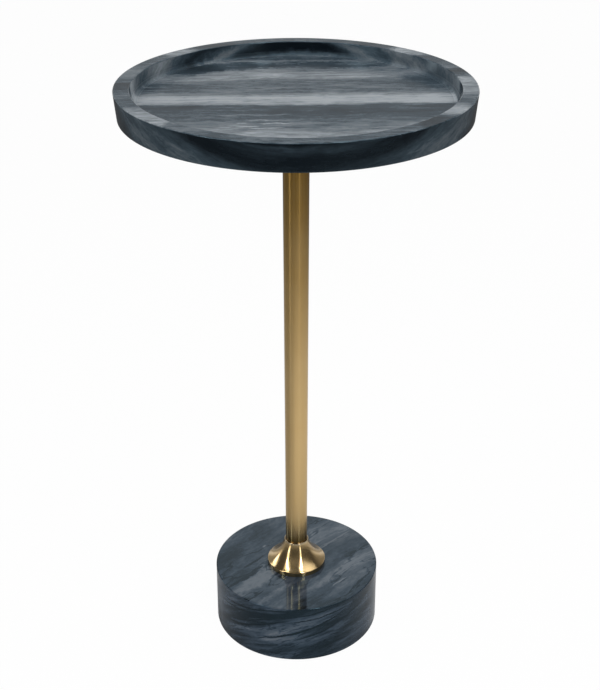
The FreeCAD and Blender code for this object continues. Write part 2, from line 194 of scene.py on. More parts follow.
class Nodes:
    """A node tree put together node by node; a method that works out a value gives back its socket."""

    def __init__(self, tree):
        self.tree = tree
        tree.nodes.clear()

    def add(self, kind, **settings):
        """A new node with the given settings."""
        node = self.tree.nodes.new(kind)
        for key, value in settings.items():
            setattr(node, key, value)
        return node

    def feed(self, socket, value):
        """Joins a socket to another one, or sets it to a plain value."""
        if isinstance(value, bpy.types.NodeSocket):
            self.tree.links.new(value, socket)
        else:
            socket.default_value = value

    def fill(self, kind, values, **settings):
        """The outputs of a new node whose inputs are fed in order."""
        node = self.add(kind, **settings)
        for socket, value in zip(node.inputs, values):
            self.feed(socket, value)
        return node.outputs

    def math(self, operation, *values):
        """A sum on numbers."""
        return self.fill("ShaderNodeMath", values, operation=operation)[0]

    def vector(self, operation, *values):
        """A sum on vectors; a dot product or length comes back as a number."""
        outputs = self.fill("ShaderNodeVectorMath", values, operation=operation)
        return outputs["Value" if operation in ("DOT_PRODUCT", "LENGTH") else "Vector"]

    def along(self, where, axis):
        """How far a place lies along an axis."""
        return self.vector("DOT_PRODUCT", where, axis)

    def join(self, x, y, z):
        """A vector from three numbers."""
        return self.fill("ShaderNodeCombineXYZ", (x, y, z))[0]

    def blend(self, part, first, second):
        """A shader part of the way from the first to the second."""
        return self.fill("ShaderNodeMixShader", (part, first, second))[0]

    def noise(self, where, scale=1.0, detail=4.0, roughness=0.5, twist=0.0):
        """Cloud noise of about nought to one."""
        node = self.add("ShaderNodeTexNoise")
        self.feed(node.inputs["Vector"], where)
        node.inputs["Scale"].default_value = scale
        node.inputs["Detail"].default_value = detail
        node.inputs["Roughness"].default_value = roughness
        node.inputs["Distortion"].default_value = twist
        return node.outputs["Fac"]

    def span(self, value, low, high, to_low=0.0, to_high=1.0, smooth=False):
        """A number carried from one range to another, held at the ends."""
        return self.fill("ShaderNodeMapRange", (value, low, high, to_low, to_high),
                         interpolation_type="SMOOTHSTEP" if smooth else "LINEAR")[0]

    def vein(self, cloud, width):
        """One along the middle level of a cloud noise, falling to nought at width from it."""
        off = self.math("ABSOLUTE", self.math("SUBTRACT", cloud, 0.5))
        return self.span(off, 0.0, width, 1.0, 0.0, smooth=True)

    def swing(self, cloud, size):
        """A cloud noise made to swing about nought by size."""
        return self.math("MULTIPLY", self.math("SUBTRACT", cloud, 0.5), size)

    def total(self, *values):
        """The sum of several numbers."""
        result = values[0]
        for value in values[1:]:
            result = self.math("ADD", result, value)
        return result

    def mix(self, part, first, second):
        """A number part of the way from the first to the second."""
        step = self.math("SUBTRACT", second, first)
        return self.math("MULTIPLY_ADD", step, part, first)

    def without(self, first, second):
        """The first mask, taken out where the second one holds."""
        return self.math("MULTIPLY", first, self.math("SUBTRACT", 1.0, second))

    def ramp(self, value, stops):
        """Colours or greys at stops of (place, colour)."""
        node = self.add("ShaderNodeValToRGB")
        band = node.color_ramp
        while len(band.elements) < len(stops):
            band.elements.new(1.0)
        for element, (place, shade) in zip(band.elements, stops):
            element.position = place
            element.color = (*shade, 1.0) if isinstance(shade, tuple) else (shade, shade, shade, 1.0)
        self.feed(node.inputs["Fac"], value)
        return node.outputs["Color"]

    def cloud(self, where, x, y, half_width, half_height, tone):
        """A soft oval of the given tone at a place in millimetres, fading to nought round it."""
        scale = (MM_PER_METRE / half_width, MM_PER_METRE / half_height, 0.0)
        shift = (-x / half_width, -y / half_height, 0.0)
        away = self.vector("MULTIPLY_ADD", where, scale, shift)
        off = self.vector("DOT_PRODUCT", away, away)
        return self.span(off, CLOUD_CORE, CLOUD_EDGE, tone, 0.0, smooth=True)

    def clouds(self, where, spots):
        """The sum of several soft ovals."""
        return self.total(*[self.cloud(where, *spot) for spot in spots])


class Finish(Nodes):
    """A material with one surface shader, patterned by the place on the piece."""

    def __init__(self, name):
        self.material = bpy.data.materials.new(name)
        self.material.use_nodes = True
        super().__init__(self.material.node_tree)
        self.surface = self.add("ShaderNodeBsdfPrincipled")
        self.feed(self.add("ShaderNodeOutputMaterial").inputs["Surface"], self.surface.outputs["BSDF"])
        self.place = self.add("ShaderNodeTexCoord").outputs["Object"]

    def set(self, **sockets):
        """Feeds sockets of the surface shader, named with underscores."""
        for key, value in sockets.items():
            self.feed(self.surface.inputs[key.replace("_", " ").title().replace("Ior", "IOR")], value)

    def lustre(self, cloud, low, high):
        """A roughness that goes from low to high with a cloud noise."""
        return self.span(cloud, *NOISE_MIDDLE, low, high)

    def off_axis(self):
        """How far a place lies from the upright axis."""
        return self.vector("LENGTH", self.vector("MULTIPLY", self.place, LEVEL))

    def brush(self):
        """Makes bare metal, brushed round the upright axis."""
        way_round = self.add("ShaderNodeTangent", direction_type="RADIAL", axis="Z").outputs[0]
        self.set(metallic=1.0, anisotropic=1.0, anisotropic_rotation=QUARTER_TURN, tangent=way_round)

    def relief(self, height, depth):
        """A bump from a height of about nought to one, depth metres tall."""
        node = self.add("ShaderNodeBump")
        node.inputs["Distance"].default_value = depth
        self.feed(node.inputs["Height"], height)
        return node.outputs["Normal"]


def between(first, second, part):
    """A colour part of the way from the first to the second."""
    return tuple(np.array(first) * (1.0 - part) + np.array(second) * part)


# How far the stone's colour has gone half way from night to slate, and half way from slate to pale.
NIGHT_STEP = 0.30
PALE_STEP = 0.36
# Tints of the reflections in the stone's polish.
TRAY_SHEEN = (0.60, 0.85, 1.0, 1.0)
BASE_SHEEN = (0.46, 0.79, 1.0, 1.0)
# The last unevenness of polished stone: how fine it is, and its depth in metres.
POLISH_GRIT = 900.0
POLISH_DEPTH = 0.000004


def stone_colours(stone, tone, looks):
    """Night, slate and pale stone at tones nought, a half and one."""
    night, slate, pale = tuple(looks.night), tuple(looks.slate), tuple(looks.pale)
    return stone.ramp(tone, [
        (0.0, night), (0.25, between(night, slate, NIGHT_STEP)), (0.5, slate),
        (0.75, between(slate, pale, PALE_STEP)), (1.0, pale),
    ])


def polish_relief(stone):
    """The last unevenness of polished stone."""
    return stone.relief(stone.noise(stone.place, scale=POLISH_GRIT, detail=2.0), POLISH_DEPTH)


# Directions in the tray's stone: through its layers, and along their dip.
TRAY_RISE = (-0.04, 1.0, -1.6)
TRAY_DIP = (0.0, 0.85, 0.53)
# Tone of the tray's stone by layer, in millimetres through the layers.
LAYER_REACH = 165.0
TRAY_LAYERS = [
    (-165, 0.20), (-149, 0.20), (-145, 0.52), (-138, 0.46), (-133, 0.24), (-122, 0.20), (-116, 0.32),
    (-110, 0.54), (-104, 0.62), (-92, 0.76), (-66, 0.78), (-50, 0.68), (-30, 0.46), (0, 0.40),
    (5, 0.85), (11, 1.00), (24, 0.96), (35, 0.64), (56, 0.58), (72, 0.62), (80, 0.77), (94, 0.75),
    (103, 0.64), (109, 0.61), (118, 0.62), (134, 0.66), (148, 0.62), (165, 0.50),
]
# Darker and paler clouds in the tray's stone: place across, layer, half width and half height in
# millimetres, and tone.
TRAY_CLOUDS = [
    (-60, 118, 42, 12, -0.28), (30, 119, 52, 11, -0.24), (-104, 103, 26, 14, -0.10),
    (120, 68, 28, 26, -0.14), (-106, 53, 26, 14, -0.12), (-28, 91, 60, 9, 0.08), (-15, -72, 34, 12, 0.10),
    (30, -14, 60, 14, -0.05), (0, 142, 50, 6, -0.14), (-88, 110, 22, 14, -0.17), (-124, -84, 18, 24, -0.06),
]
# Thin wisps, written as the clouds are.
TRAY_WISPS = [
    (-28, -36, 11, 1.5, 0.34), (-16, -45, 10, 1.3, 0.36), (-35, -52, 9, 1.6, 0.30), (-22, -57, 8, 1.2, 0.30),
    (-40, -44, 6, 1.0, 0.26), (44, -18, 16, 0.9, 0.14), (-70, 16, 18, 0.9, 0.12), (-58, -11, 44, 1.3, 0.10),
    (-20, -22, 50, 1.5, 0.12), (70, -9, 42, 1.2, 0.10), (36, -26, 46, 1.4, 0.12), (-84, -24, 30, 1.2, 0.12),
    (8, -15, 40, 1.2, -0.12), (92, -19, 26, 1.2, -0.12), (-96, -16, 20, 1.0, -0.12),
]
# Dark clouds on the wall of the recess only: painted shade in the recess.
HOLLOW_SHADE_CLOUDS = [(136, 6, 30, 24, -0.36), (-8, 141, 48, 9, -0.54), (0, 154, 60, 6, -0.10)]
# Tone of the rim's flat, and clouds on it only.
RIM_TONE = 0.50
RIM_CLOUDS = [
    (-120, -84, 28, 24, 0.32), (-94, -110, 34, 20, 0.08), (-146, 0, 16, 11, -0.26),
    (103, -103, 14, 14, -0.26), (126, -73, 18, 15, 0.40), (145, -14, 16, 30, 0.32), (142, 32, 16, 9, -0.24),
    (103, 103, 20, 16, 0.40), (73, 127, 16, 12, -0.14), (-73, 126, 22, 14, -0.18),
    (-104, 103, 16, 13, 0.32), (-140, 40, 16, 18, 0.18), (-38, -141, 18, 12, 0.12),
]
# Where one surface of the tray fades into the next, in metres: down from the rim, and outwards from the
# outside of the rim, the edge of the floor or the mouth of the recess.
RIM_FADE = (0.0004, 0.0010)
WALL_START = (-0.0054, -0.0044)
HOLLOW_START = (-0.0012, -0.0002)
HOLLOW_END = (0.0011, 0.0021)
FILLET_START = (-0.0035, -0.0027)
FILLET_END = (0.0005, 0.0011)
# Painted shade as a tone that is added on the outer wall, share of the fine grain on both walls, and the
# fillet's dull finish.
WALL_SHADE_TONE = -0.20
WALL_GRAIN = 0.4
FILLET_ROUGHNESS = 0.60


def tray_marble(looks):
    """Layered marble: the layers lie along X and dip towards the front of the tray.

    A place's layer is its distance through the layers, swayed and rippled by noise, and sets its band's
    tone. Clouds and wisps lie at their places across and through the layers, with ragged edges. Painted
    shade darkens the outer wall and, in dark clouds, the wall of the recess. Grain drawn out along the
    layers is added last.
    """
    stone = Finish("tray_marble")
    here = stone.vector("SUBTRACT", stone.place, (0.0, 0.0, TRAY_HIGH.z))
    sway = stone.swing(stone.noise(here, scale=6.0, detail=2.0), size=0.020)
    ripple = stone.swing(stone.noise(here, scale=48.0, detail=5.0, roughness=0.6), size=0.008)
    layer = stone.total(stone.along(here, TRAY_RISE), sway, ripple)
    drift = stone.swing(stone.noise(here, scale=31.0, detail=3.0), size=0.030)
    across = stone.math("ADD", stone.along(here, RIGHT), drift)
    dip = stone.along(here, TRAY_DIP)
    reach = LAYER_REACH / MM_PER_METRE
    bands = stone.ramp(stone.span(layer, -reach, reach),
                       [((mm + LAYER_REACH) / 2.0 / LAYER_REACH, tone) for mm, tone in TRAY_LAYERS])
    jag = stone.noise(here, scale=130.0, detail=6.0, roughness=0.65)

    def ragged(sideways, through):
        """The place across and through the layers, torn by the given lengths."""
        return stone.join(stone.math("ADD", across, stone.swing(jag, sideways)),
                          stone.math("ADD", layer, stone.swing(jag, through)), 0.0)

    def grain(lengthwise, through, detail=7.0, roughness=0.66):
        """Cloud noise drawn out along the layers."""
        where = stone.join(stone.math("MULTIPLY", across, lengthwise),
                           stone.math("MULTIPLY", dip, through / 2.0),
                           stone.math("MULTIPLY", layer, through))
        return stone.noise(where, detail=detail, roughness=roughness, twist=0.3)

    off_axis = stone.off_axis()

    def past(edge, fade):
        """Nought inside a circle round the axis and one outside it, from the fade's start to its end."""
        start, end = fade
        return stone.span(off_axis, edge + start, edge + end)

    mouth = looks.radius - looks.rim_width
    floor_edge = mouth - looks.recess_lean
    rim = stone.span(stone.along(here, DOWN), *RIM_FADE, 1.0, 0.0)
    wall = stone.without(past(looks.radius, WALL_START), rim)
    hollow = stone.without(past(floor_edge, HOLLOW_START), past(mouth, HOLLOW_END))
    fillet = stone.without(past(floor_edge, FILLET_START), past(floor_edge, FILLET_END))

    sheet = ragged(sideways=-0.030, through=0.018)
    thin = ragged(sideways=0.0, through=0.006)
    # Painted shade: a darker tone on the outer wall, and dark clouds on the wall of the recess.
    inside = stone.total(bands, stone.math("MULTIPLY", wall, WALL_SHADE_TONE),
                         stone.math("MULTIPLY", hollow, stone.clouds(thin, HOLLOW_SHADE_CLOUDS)),
                         stone.clouds(sheet, TRAY_CLOUDS), stone.clouds(thin, TRAY_WISPS))
    flat = stone.math("ADD", stone.clouds(sheet, RIM_CLOUDS), RIM_TONE)
    coarse = stone.swing(grain(lengthwise=14.0, through=40.0), size=0.80)
    finest = grain(lengthwise=110.0, through=900.0, detail=3.0, roughness=0.6)
    fine = stone.total(stone.swing(grain(lengthwise=24.0, through=240.0), size=0.80),
                       stone.swing(finest, size=0.50))
    fine_part = stone.span(stone.math("MAXIMUM", wall, hollow), 0.0, 1.0, 1.0, WALL_GRAIN)
    tone = stone.total(stone.mix(rim, inside, flat), coarse, stone.math("MULTIPLY", fine, fine_part))
    gloss = stone.lustre(stone.noise(here, scale=26.0, detail=3.0), low=0.13, high=0.22)
    stone.set(base_color=stone_colours(stone, tone, looks),
              roughness=stone.mix(fillet, gloss, FILLET_ROUGHNESS),
              specular_ior_level=0.35, specular_tint=TRAY_SHEEN, normal=polish_relief(stone))
    return stone.material


# Directions in the base's stone: through its layers, along its streaks, across them in the layer, and
# across them on the level.
BASE_RISE = (0.25, -0.235, -0.94)
BASE_RUN = (0.682, 0.731, 0.0)
BASE_CROSS = (0.687, -0.641, 0.343)
BASE_ACROSS = (0.731, -0.682, 0.0)
# On the base's top and on its side: plain tone, strength of the bands and of the whole pattern, and depth of
# colour. The top's darker colour is painted shade, which makes up for the polish's sheen on top.
BASE_TONES = (0.62, 0.56)
BASE_BANDS = (1.0, 2.2)
BASE_PATTERN = (1.8, 1.0)
BASE_PAINTED_SHADE = (0.70, 1.0)
# Tones of the fine veins that noise makes.
DARK_VEIN_TONE = -0.26
PALE_VEIN_TONE = 0.30
# Heights from the base's top, in metres, where its side fades into its top.
BASE_EDGE_FADE = (-0.0010, -0.0003)
# Layers in metres between which the base's side darkens downwards, and the tones that are added there.
BASE_DEEP_LAYERS = (-0.062, -0.030)
BASE_DEEP_TONES = (-0.02, -0.18)
# Clouds and thin veins on top of the base: along and across the streaks, half sizes, all in millimetres,
# and tone.
BASE_CLOUDS = [
    (-48, -5, 34, 8, 0.20), (-54, -23, 26, 6, -0.12), (-48, -52, 26, 10, -0.12), (6, -56, 14, 8, -0.12),
    (18, -66, 12, 5, -0.10), (10, 43, 52, 5, 0.16), (36, 31, 42, 3.5, -0.10), (34, 42, 50, 22, 0.03),
    (-30, 52, 30, 8, -0.12), (10, 62, 34, 5, 0.10), (-16, -40, 24, 6, 0.08), (-60, 22, 26, 3, 0.14),
]
BASE_TOP_VEINS = [
    (-66, -17.5, 12, 1.6, -0.36), (-50, -15.5, 12, 1.7, -0.40), (-37, -18.5, 7, 1.9, -0.40),
    (-30, -29, 13, 1.3, -0.34), (44, 4, 11, 1.0, 0.46), (62, 4.5, 10, 0.9, 0.26), (3, 54, 9, 0.9, 0.42),
    (-5, -40, 2, 1.4, 0.46), (24, 47, 12, 0.7, 0.26),
]
# The same on its side: round from the front, height from the top along the veins' slope, half sizes, and
# tone. Their edges are torn so many times further round than in height.
BASE_SIDE_SLOPE = 0.35
TORN_ROUND = 3.0
BASE_SIDE_CLOUDS = [
    (-32, -19.5, 58, 5, 0.18), (-16, -32, 32, 4, 0.14), (-31, 1, 62, 6, -0.15), (54, -33, 48, 5, -0.26),
    (42, -54, 42, 7, -0.24), (-92, 0, 34, 20, 0.07), (60, -43, 40, 1.2, 0.12), (-34, -45, 34, 3, -0.16),
]
BASE_SIDE_VEINS = [
    (-50, -11, 34, 1.1, -0.90), (4, -27.4, 38, 1.1, -0.95), (-30, -5.5, 40, 0.8, -0.50),
    (44, -36, 44, 0.9, -0.40),
]
# Thin veins near the base's top edge, which rise less.
BASE_EDGE_SLOPE = 0.16
BASE_EDGE_VEINS = [
    (-45, -5.5, 45, 0.8, -0.65), (-40, -1, 46, 0.8, -0.55), (20, -14.5, 28, 0.7, -0.60),
    (30, -8, 44, 0.8, -0.50),
]


def base_marble(looks):
    """Layered marble: nearly level layers that rise to the right, with thin dark and pale veins.

    Bands, grain and fine veins are noise drawn out along the layers. Clouds and main veins lie at their
    places on the top, and on the side laid flat.
    """
    stone = Finish("base_marble")
    here = stone.place
    below = stone.math("SUBTRACT", stone.along(here, UP), BASE_HIGH.z)
    side = stone.span(below, *BASE_EDGE_FADE, 1.0, 0.0)
    sway = stone.swing(stone.noise(here, scale=14.0, detail=3.0), size=0.009)
    layer = stone.math("ADD", stone.along(here, BASE_RISE), sway)
    run = stone.along(here, BASE_RUN)
    cross = stone.along(here, BASE_CROSS)
    across = stone.along(here, BASE_ACROSS)
    jag = stone.noise(here, scale=120.0, detail=6.0, roughness=0.65)
    turn = stone.math("ARCTAN2", stone.along(here, RIGHT), stone.along(here, FRONT))
    round_side = stone.math("MULTIPLY", turn, looks.radius)

    def by_face(top, wall):
        """A number for the top of the base, and another for its side."""
        return stone.span(side, 0.0, 1.0, top, wall)

    def grain(lengthwise, sideways, through, detail, shift):
        """Cloud noise drawn out along the layers."""
        return stone.noise(stone.join(stone.math("MULTIPLY_ADD", run, lengthwise, shift),
                                      stone.math("MULTIPLY", cross, sideways),
                                      stone.math("MULTIPLY", layer, through)), detail=detail, roughness=0.6)

    def patches(size, low, high, shift):
        """Nought or one in soft patches, which break the veins up."""
        return stone.span(grain(size, size, size, detail=2.0, shift=shift), low, high)

    def ragged(lengthwise, sideways):
        """The place along and across the streaks on top, torn by the given lengths."""
        return stone.join(stone.math("ADD", run, stone.swing(jag, lengthwise)),
                          stone.math("ADD", across, stone.swing(jag, sideways)), 0.0)

    def unrolled(slope, torn):
        """The side laid flat: the way round, and the height along veins of a slope, torn by a length."""
        rise = stone.math("MULTIPLY_ADD", round_side, -slope, below)
        return stone.join(stone.math("ADD", round_side, stone.swing(jag, TORN_ROUND * torn)),
                          stone.total(rise, stone.swing(jag, -torn), sway), 0.0)

    bands = grain(lengthwise=7.0, sideways=12.0, through=75.0, detail=9.0, shift=3.1)
    streaks = grain(lengthwise=24.0, sideways=40.0, through=250.0, detail=8.0, shift=7.7)
    specks = grain(lengthwise=140.0, sideways=180.0, through=800.0, detail=4.0, shift=9.1)
    dark_lines = grain(lengthwise=5.0, sideways=9.0, through=52.0, detail=5.0, shift=11.3)
    pale_lines = grain(lengthwise=4.0, sideways=8.0, through=60.0, detail=2.0, shift=17.2)
    deep = stone.math("MULTIPLY", side, stone.span(layer, *BASE_DEEP_LAYERS, *BASE_DEEP_TONES))
    dark_veins = stone.math("MULTIPLY", stone.vein(dark_lines, width=0.014),
                            patches(size=11.0, low=0.46, high=0.58, shift=5.9))
    pale_veins = stone.math("MULTIPLY", stone.vein(pale_lines, width=0.006),
                            patches(size=16.0, low=0.52, high=0.64, shift=1.4))
    on_top = stone.total(stone.clouds(ragged(lengthwise=0.030, sideways=-0.014), BASE_CLOUDS),
                         stone.clouds(ragged(lengthwise=0.0, sideways=-0.005), BASE_TOP_VEINS))
    on_side = stone.total(stone.clouds(unrolled(BASE_SIDE_SLOPE, torn=0.010), BASE_SIDE_CLOUDS),
                          stone.clouds(unrolled(BASE_SIDE_SLOPE, torn=0.003), BASE_SIDE_VEINS),
                          stone.clouds(unrolled(BASE_EDGE_SLOPE, torn=0.003), BASE_EDGE_VEINS))
    pattern = stone.total(stone.math("MULTIPLY", stone.swing(bands, size=1.0), by_face(*BASE_BANDS)),
                          stone.swing(streaks, size=0.50), stone.swing(specks, size=0.36),
                          stone.mix(side, on_top, on_side),
                          stone.math("MULTIPLY", dark_veins, DARK_VEIN_TONE),
                          stone.math("MULTIPLY", pale_veins, PALE_VEIN_TONE))
    tone = stone.total(by_face(*BASE_TONES), deep, stone.math("MULTIPLY", pattern, by_face(*BASE_PATTERN)))
    # Painted shade: the top's stone colour is darkened against the polish's sheen.
    depth = by_face(*BASE_PAINTED_SHADE)
    colours = stone.vector("MULTIPLY", stone_colours(stone, tone, looks), stone.join(depth, depth, depth))
    stone.set(base_color=colours,
              roughness=stone.lustre(bands, low=0.05, high=0.09),
              specular_ior_level=0.45, specular_tint=BASE_SHEEN, normal=polish_relief(stone))
    return stone.material


# Fineness of the polishing lines along the post, and of the turning rings on the collar.
POST_LINES = (1500.0, 1500.0, 5.0)
COLLAR_RINGS = 700.0
# Height from which painted shade darkens and warms the post towards its top, and how far painted shade
# darkens its foot above the collar.
POST_SHADE_FROM = 0.26
POST_FOOT_SHADE = 0.016
# Depths below the collar's lip between which it pales: a painted highlight along the lip.
LIP_HIGHLIGHT_FROM = 0.0030
LIP_HIGHLIGHT_TO = 0.0005
# Colours that the brass tends to, among them painted shade and a painted highlight.
TOP_SHADE_BRASS = (0.46, 0.25, 0.03)
LIGHT_BRASS = (0.8, 0.62, 0.34)
FOOT_SHADE_BRASS = (0.38, 0.24, 0.085)
BROWN_BRASS = (0.12, 0.06, 0.01)
BRIGHT_BRASS = (0.85, 0.66, 0.36)
LIP_HIGHLIGHT_BRASS = (0.56, 0.47, 0.32)


def satin_brass(looks):
    """Brass tube polished round its axis, which draws highlights out along the post."""
    metal = Finish("satin_brass")
    lines = metal.noise(metal.vector("MULTIPLY", metal.place, POST_LINES), detail=3.0)
    clouds = metal.noise(metal.place, scale=30.0, detail=3.0)
    height = metal.along(metal.place, UP)
    # Painted shade: warmer, darker brass towards the top, and darker brass just above the collar.
    shade = metal.total(metal.span(height, POST_SHADE_FROM, POST_HIGH.z, 0.62, 0.0),
                        metal.span(height, COLLAR_HIGH.z, COLLAR_HIGH.z + POST_FOOT_SHADE, 0.45, 0.0),
                        metal.swing(lines, size=0.4), metal.swing(clouds, size=0.3))
    brass = tuple(looks.brass)
    colours = metal.ramp(shade, [(0.0, between(brass, TOP_SHADE_BRASS, 0.80)), (0.6, brass),
                                 (0.74, between(brass, LIGHT_BRASS, 0.15)), (1.0, FOOT_SHADE_BRASS)])
    metal.brush()
    metal.set(base_color=colours, roughness=metal.span(lines, 0.25, 0.75, 0.15, 0.17))
    return metal.material


def polished_brass(looks):
    """Lacquered brass, spun and polished on a lathe, which draws highlights out from lip to foot."""
    metal = Finish("polished_brass")
    height = metal.along(metal.place, UP)
    rings = metal.noise(metal.join(metal.math("MULTIPLY", metal.off_axis(), COLLAR_RINGS),
                                   metal.math("MULTIPLY", height, COLLAR_RINGS), 0.0), detail=3.0)
    clouds = metal.math("MULTIPLY", metal.noise(metal.place, scale=60.0, detail=4.0), 0.6)
    # Painted highlight: the brass pales to a light band just under the lip.
    lip = metal.span(height, COLLAR_HIGH.z - LIP_HIGHLIGHT_FROM, COLLAR_HIGH.z - LIP_HIGHLIGHT_TO, 0.0, 0.5)
    brass = tuple(looks.brass)
    colours = metal.ramp(metal.total(clouds, lip), [(0.12, between(brass, BROWN_BRASS, 0.25)),
                                                    (0.48, between(brass, BRIGHT_BRASS, 0.15)),
                                                    (0.90, LIP_HIGHLIGHT_BRASS)])
    metal.brush()
    metal.set(base_color=colours, roughness=metal.lustre(rings, low=0.15, high=0.18),
              coat_weight=0.8, coat_roughness=0.10)
    return metal.material


# Colours that the fittings' finishes tend to, how far a coat's roughness varies, and the plate's relief in
# metres.
PLATE_GREY = (0.1, 0.1, 0.1)
BLACK = (0.0, 0.0, 0.0)
WHITE = (1.0, 1.0, 1.0)
COAT_VARIES = 0.06
PLATE_RELIEF = 0.000005


def plated(name, tint, low, high):
    """Machined and plated metal with a faint cloudy lustre, of roughness low to high."""
    metal = Finish(name)
    clouds = metal.noise(metal.place, scale=220.0, detail=4.0)
    fine = metal.noise(metal.place, scale=2400.0, detail=2.0)
    metal.set(base_color=metal.ramp(clouds, [(0.3, between(tint, PLATE_GREY, 0.25)), (0.7, tint)]),
              metallic=1.0,
              roughness=metal.lustre(clouds, low, high),
              normal=metal.relief(fine, PLATE_RELIEF))
    return metal.material


def coated(name, tint, rough, relief_scale, relief_depth):
    """Paint, rubber or plastic with a fine surface texture."""
    coat = Finish(name)
    skin = coat.noise(coat.place, scale=relief_scale, detail=3.0)
    clouds = coat.noise(coat.place, scale=90.0, detail=3.0)
    coat.set(base_color=coat.ramp(clouds, [(0.25, between(tint, BLACK, 0.2)),
                                           (0.75, between(tint, WHITE, 0.03))]),
             roughness=coat.lustre(skin, rough - COAT_VARIES, rough + COAT_VARIES),
             normal=coat.relief(skin, relief_depth))
    return coat.material


def round_corner(before, corner, after, radius, steps):
    """Points of the arc that touches both sides of a corner, or the corner itself where radius is nought.

    The arc's centre lies on the corner's bisector, radius / sin(half angle) away, and the arc is that centre
    plus the radius times a direction turned evenly from one touching point to the other.
    """
    if radius == 0.0:
        return corner[None, :]
    back = (before - corner) / np.linalg.norm(before - corner)
    ahead = (after - corner) / np.linalg.norm(after - corner)
    half = math.acos(np.clip(back @ ahead, -1.0, 1.0)) / 2.0
    bisector = (back + ahead) / np.linalg.norm(back + ahead)
    centre = corner + bisector * radius / math.sin(half)
    reach = radius / math.tan(half)
    first = corner + back * reach - centre
    last = corner + ahead * reach - centre
    start = math.atan2(first[1], first[0])
    turn = math.atan2(first[0] * last[1] - first[1] * last[0], first @ last)
    angle = start + turn * np.linspace(0.0, 1.0, steps + 1)
    return centre + radius * np.stack([np.cos(angle), np.sin(angle)], axis=-1)


def eased_profile(corners, closed, steps=6):
    """A profile through corners of (radius, height, rounding), each rounded by its own arc of so many steps.

    The ends of an open profile stay sharp.
    """
    corners = np.array(corners, float)
    if not closed:
        corners[[0, -1], 2] = 0.0
    points = corners[:, :2]
    sides = zip(np.roll(points, 1, axis=0), points, np.roll(points, -1, axis=0), corners[:, 2])
    return np.concatenate([round_corner(before, corner, after, radius, steps)
                           for before, corner, after, radius in sides])


# A run is long from so many gaps. The shortest run, in metres, keeps points that coincide from dividing by
# nought.
LONG_RUN = 3.0
SHORTEST_RUN = 1e-12


def supported(profile, closed, gap):
    """A profile with extra points at gap from both ends of each long run, which keep its shading flat."""
    ends = np.roll(profile, -1, axis=0)
    step = ends - profile
    size = np.linalg.norm(step, axis=1, keepdims=True)
    unit = step / np.maximum(size, SHORTEST_RUN)
    rows = np.stack([profile, profile + unit * gap, ends - unit * gap], axis=1)
    keep = np.repeat(size > LONG_RUN * gap, 3, axis=1)
    keep[:, 0] = True
    if not closed:
        keep[-1, 1:] = False
    return rows[keep]


def turned_piece(name, profile, segments, closed):
    """A surface of revolution: the profile's radius r and height z carried round the upright axis.

    The point at angle a is (r cos a, r sin a, z). A closed profile joins its last point to its first one; an
    open one starts and ends on the axis, where single points close the poles.
    """
    radius, height = profile.T
    body = slice(None) if closed else slice(1, -1)
    angle = np.arange(segments) * (2.0 * np.pi / segments)
    rings = np.stack([np.outer(radius[body], np.cos(angle)), np.outer(radius[body], np.sin(angle)),
                      np.repeat(height[body, None], segments, axis=1)], axis=-1)
    count = len(rings)
    index = np.arange(count * segments).reshape(count, segments)
    onward = np.roll(index, -1, axis=1)
    low, high = (index, np.roll(index, -1, axis=0)) if closed else (index[:-1], index[1:])
    low_on, high_on = (onward, np.roll(onward, -1, axis=0)) if closed else (onward[:-1], onward[1:])
    faces = np.stack([low, low_on, high_on, high], axis=-1).reshape(-1, 4).tolist()
    points = rings.reshape(-1, 3)
    if not closed:
        first, last = np.full(segments, len(points)), np.full(segments, len(points) + 1)
        points = np.concatenate([points, [[0.0, 0.0, height[0]], [0.0, 0.0, height[-1]]]])
        faces += np.stack([first, onward[0], index[0]], axis=-1).tolist()
        faces += np.stack([last, index[-1], onward[-1]], axis=-1).tolist()
    mesh = bpy.data.meshes.new(name)
    mesh.from_pydata(points.tolist(), [], faces)
    mesh.polygons.foreach_set("use_smooth", np.ones(len(mesh.polygons), bool))
    mesh.update()
    piece = bpy.data.objects.new(name, mesh)
    bpy.context.scene.collection.objects.link(piece)
    return piece


def dress(piece, node, material):
    """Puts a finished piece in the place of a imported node."""
    piece.data.materials.append(material)
    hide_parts(node)
    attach(piece, BODY)


# Distance in metres of the extra points that keep flat runs flat, on stone and on the tube.
STONE_SUPPORT = 0.0006
TUBE_SUPPORT = 0.0004


class WINETABLE_OT_tray(bpy.types.Operator):
    """Turn the dished marble tray top"""
    bl_idname = "wine_table.tray"
    bl_label = "Tray top"

    def execute(self, context):
        settings = context.scene.wine_table
        looks = settings.tray
        foot, rim = TRAY_LOW.z, TRAY_HIGH.z
        floor = rim - looks.recess_depth
        mouth = looks.radius - looks.rim_width
        profile = eased_profile([
            (0.0, foot, 0.0), (looks.radius - looks.wall_lean, foot, looks.edge_round),
            (looks.radius, rim, looks.edge_round), (mouth, rim, looks.edge_round),
            (mouth - looks.recess_lean, floor, looks.hollow_round), (0.0, floor, 0.0),
        ], closed=False, steps=8)
        profile = supported(profile, closed=False, gap=STONE_SUPPORT)
        piece = turned_piece("tray_stone", profile, settings.segments, closed=False)
        dress(piece, "tray_top", tray_marble(looks))
        return {"FINISHED"}


class WINETABLE_OT_base(bpy.types.Operator):
    """Turn the marble base with its bore and pocket"""
    bl_idname = "wine_table.base"
    bl_label = "Base"

    def execute(self, context):
        settings = context.scene.wine_table
        looks = settings.base
        foot, top = BASE_LOW.z, BASE_HIGH.z
        roof = foot + looks.pocket_depth
        profile = eased_profile([
            (looks.pocket_radius, foot, looks.pocket_round), (looks.radius, foot, looks.edge_round),
            (looks.radius, top, looks.edge_round), (looks.bore_radius, top, looks.bore_round),
            (looks.bore_radius, roof, looks.bore_round), (looks.pocket_radius, roof, looks.bore_round),
        ], closed=True)
        profile = supported(profile, closed=True, gap=STONE_SUPPORT)
        piece = turned_piece("base_stone", profile, settings.segments, closed=True)
        dress(piece, "base_block", base_marble(looks))
        return {"FINISHED"}


